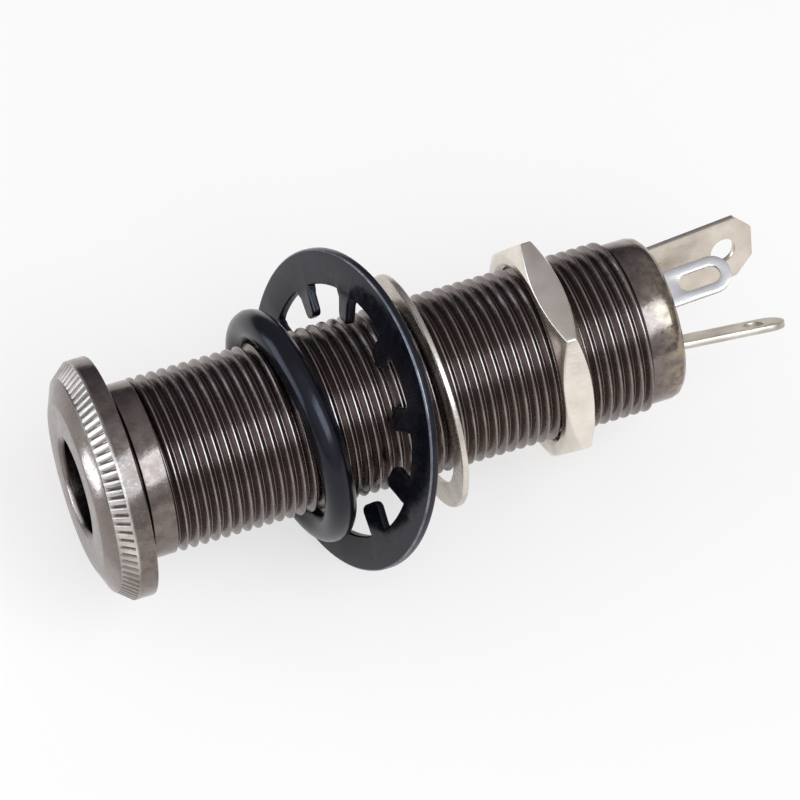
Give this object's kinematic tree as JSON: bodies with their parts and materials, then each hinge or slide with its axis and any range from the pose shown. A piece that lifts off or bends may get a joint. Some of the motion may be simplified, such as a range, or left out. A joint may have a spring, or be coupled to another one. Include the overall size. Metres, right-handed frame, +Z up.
{
  "type": "quarter inch phone jack",
  "caption": "Long threaded barrel jack for a 6.35 mm plug, with a knurled flange, loose O-ring and washers, a hex nut and solder lugs.",
  "frame": {"origin": "centre of the panel seat (the back of the flange), on the barrel's axis", "axes": "+X along the barrel from the flange to the solder lugs, +Z up"},
  "size_m": [0.0508, 0.0218, 0.0214],
  "materials": {
    "black_nickel": "dark polished plating",
    "rubber": "matte",
    "black_steel": "satin black",
    "nickel": "warm bright plating",
    "tinned": "bright tinned",
    "laminate": "brown laminate",
    "spring_metal": "satin"
  },
  "bodies": {
    "jack": {"barrel": "black_nickel", "o_ring": "rubber", "lock_washer": "black_steel", "flat_washer": "nickel", "front_insulator": "laminate", "rear_insulator": "laminate", "sleeve_lug": "nickel", "ring_lug": "tinned", "tip_lug": "tinned"},
    "nut": {"hex_nut": "nickel"},
    "ring_contact": {"ring_blade": "spring_metal"},
    "tip_contact": {"tip_blade": "spring_metal"}
  },
  "joints": [
    {"name": "nut_travel", "type": "slide", "parent": "jack", "child": "nut", "axis": [1, 0, 0], "range_m": [-0.0072, 0.0047]},
    {"name": "ring_blade_flex", "type": "hinge", "parent": "jack", "child": "ring_contact", "pos_m": [0.0341, -0.0011, 0.00359], "axis": [0, 0.9563, 0.2924], "range_deg": [0, 1.8], "stiffness_Nm_per_rad": 2.3},
    {"name": "tip_blade_flex", "type": "hinge", "parent": "jack", "child": "tip_contact", "pos_m": [0.0341, -0.00231, -0.00296], "axis": [0, -0.788, 0.6157], "range_deg": [0, 4], "stiffness_Nm_per_rad": 0.6}
  ]
}
